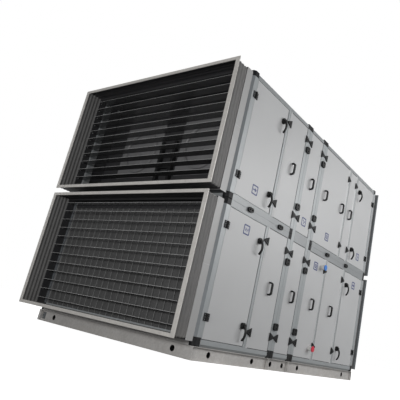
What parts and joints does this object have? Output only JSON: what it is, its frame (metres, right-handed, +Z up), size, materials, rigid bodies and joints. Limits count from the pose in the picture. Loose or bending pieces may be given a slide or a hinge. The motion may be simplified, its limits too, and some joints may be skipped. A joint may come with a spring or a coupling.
{
  "type": "air handling unit",
  "caption": "Two-deck air handling unit: framed panel casing on a channel base, hinged access doors, flanged duct mouths with louvre dampers, and capped water stubs.",
  "frame": {"origin": "on the ground under the middle of the unit's box", "axes": "+X along the unit from the front mouths to the rear ones, -Y out of the access side, +Z up"},
  "size_m": [3.368, 2.2, 2.515],
  "materials": {
    "galvanised": "galvanised, satin",
    "alloy": "anodised, satin",
    "corner_plastic": "moulded, matte",
    "door_paint": "satin coat",
    "panel_paint": "satin coat",
    "casing_paint": "satin coat",
    "sleeve_fabric": "coated cloth",
    "flange_steel": "galvanised, satin",
    "blade_alloy": "extruded, satin",
    "filter_steel": "galvanised, satin",
    "filter_cloth": "non-woven cloth",
    "coil_fins": "finned",
    "fan_steel": "satin coat",
    "hardware_plastic": "moulded, satin",
    "pipe_metal": "satin",
    "blue_plastic": "moulded",
    "red_plastic": "moulded"
  },
  "bodies": {
    "casing": {"base_side_rails": "galvanised", "base_cross_rails": "galvanised", "lower_posts": "alloy", "upper_posts": "alloy", "lower_rails": "alloy", "upper_rails": "alloy", "lower_corner_blocks": "corner_plastic", "upper_corner_blocks": "corner_plastic", "upper_front_door": "door_paint", "upper_rear_door": "door_paint", "lower_access_panels": "panel_paint", "upper_access_panels": "panel_paint", "lower_back_panels": "panel_paint", "upper_back_panels": "panel_paint", "lower_floor": "panel_paint", "deck_panels": "panel_paint", "roof_panels": "panel_paint", "damper_casings": "casing_paint", "duct_sleeves": "sleeve_fabric", "duct_flanges": "flange_steel", "lower_damper_blades": "blade_alloy", "upper_damper_blades": "blade_alloy", "rear_damper_blades": "blade_alloy", "filter_frame": "filter_steel", "filter_pockets": "filter_cloth", "lower_partition": "panel_paint", "water_coil": "coil_fins", "fan_wall": "panel_paint", "fan_inlets": "fan_steel", "lower_hinge_seats": "hardware_plastic", "upper_door_fittings": "hardware_plastic", "panel_handles": "hardware_plastic", "panel_clamps": "hardware_plastic", "frame_connectors": "hardware_plastic", "water_stubs": "pipe_metal", "blue_cap": "blue_plastic", "red_cap": "red_plastic"},
    "front_door": {"lower_front_door": "door_paint", "front_door_fittings": "hardware_plastic"},
    "rear_door": {"lower_rear_door": "door_paint", "rear_door_fittings": "hardware_plastic"},
    "front_lever_bottom": {"front_lever_low": "hardware_plastic"},
    "front_lever_top": {"front_lever_high": "hardware_plastic"},
    "rear_lever_bottom": {"rear_lever_low": "hardware_plastic"},
    "rear_lever_top": {"rear_lever_high": "hardware_plastic"}
  },
  "joints": [
    {"name": "front_door_swing", "type": "hinge", "parent": "casing", "child": "front_door", "pos_m": [-1.367, -1.0532, 0.7075], "axis": [0, 0, -1], "range_deg": [0, 110]},
    {"name": "rear_door_swing", "type": "hinge", "parent": "casing", "child": "rear_door", "pos_m": [1.536, -1.0532, 0.7075], "axis": [0, 0, 1], "range_deg": [0, 110]},
    {"name": "front_lever_bottom_turn", "type": "hinge", "parent": "front_door", "child": "front_lever_bottom", "pos_m": [-0.876, -1.064, 0.334], "axis": [0, 1, 0], "range_deg": [0, 90]},
    {"name": "front_lever_top_turn", "type": "hinge", "parent": "front_door", "child": "front_lever_top", "pos_m": [-0.876, -1.064, 1.091], "axis": [0, 1, 0], "range_deg": [0, 90]},
    {"name": "rear_lever_bottom_turn", "type": "hinge", "parent": "rear_door", "child": "rear_lever_bottom", "pos_m": [1.061, -1.064, 0.334], "axis": [0, -1, 0], "range_deg": [0, 90]},
    {"name": "rear_lever_top_turn", "type": "hinge", "parent": "rear_door", "child": "rear_lever_top", "pos_m": [1.061, -1.064, 1.091], "axis": [0, -1, 0], "range_deg": [0, 90]}
  ]
}
